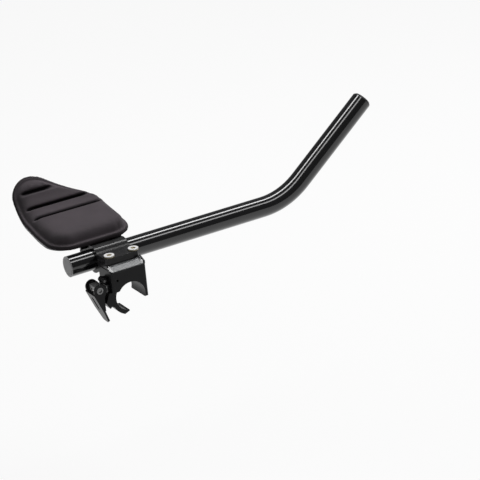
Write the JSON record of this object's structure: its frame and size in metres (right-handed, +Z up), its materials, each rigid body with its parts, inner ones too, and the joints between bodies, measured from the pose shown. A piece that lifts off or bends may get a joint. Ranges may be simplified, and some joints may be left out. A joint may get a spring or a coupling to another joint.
{
  "type": "aero handlebar extension",
  "caption": "Bent tube extension for a bicycle handlebar, with a quick-release cam clamp for the bar and a cupped, padded armrest beside the tube.",
  "frame": {"origin": "on the handlebar's axis, in the middle of the handlebar clamp", "axes": "+X inboard along the handlebar, +Y forward along the extension, +Z up"},
  "size_m": [0.1626, 0.3928, 0.1562],
  "materials": {
    "black_alloy": "satin black anodised",
    "gloss_black_alloy": "gloss black anodised",
    "grey_alloy": "satin grey",
    "steel": "plated",
    "grey_plastic": "matte",
    "black_plastic": "matte",
    "shell_plastic": "satin moulded",
    "strip_fabric": "hook and loop",
    "pad_foam": "fabric-faced foam"
  },
  "bodies": {
    "frame": {"clamp_body": "black_alloy", "jaw_hinge_pin": "steel", "clamp_stud": "steel", "lever_pivot": "steel", "shoulder_plate": "grey_alloy", "extension_cradle": "black_alloy", "extension_cap": "black_alloy", "cap_bolts": "steel", "extension_tube": "gloss_black_alloy", "tail_plug": "grey_plastic", "tip_plug": "black_plastic", "armrest_arm": "black_alloy", "arm_bolts": "steel", "armrest_shell": "shell_plastic", "shell_screws": "steel", "pad_strips": "strip_fabric", "armrest_pad": "pad_foam"},
    "jaw": {"lower_jaw": "black_alloy", "cam_pad": "steel"},
    "lever": {"qr_lever": "black_alloy"}
  },
  "joints": [
    {"name": "lever_turn", "type": "hinge", "parent": "frame", "child": "lever", "pos_m": [0, -0.0324, 0.0137], "axis": [-1, 0, 0], "range_deg": [0, 135]},
    {"name": "jaw_swing", "type": "hinge", "parent": "frame", "child": "jaw", "pos_m": [0, -0.0235, 0.0202], "axis": [-1, 0, 0], "range_deg": [0, 15]}
  ],
  "couplings": [
    {"joint": "jaw_swing", "follows": "lever_turn", "ratio": 0.1111}
  ]
}
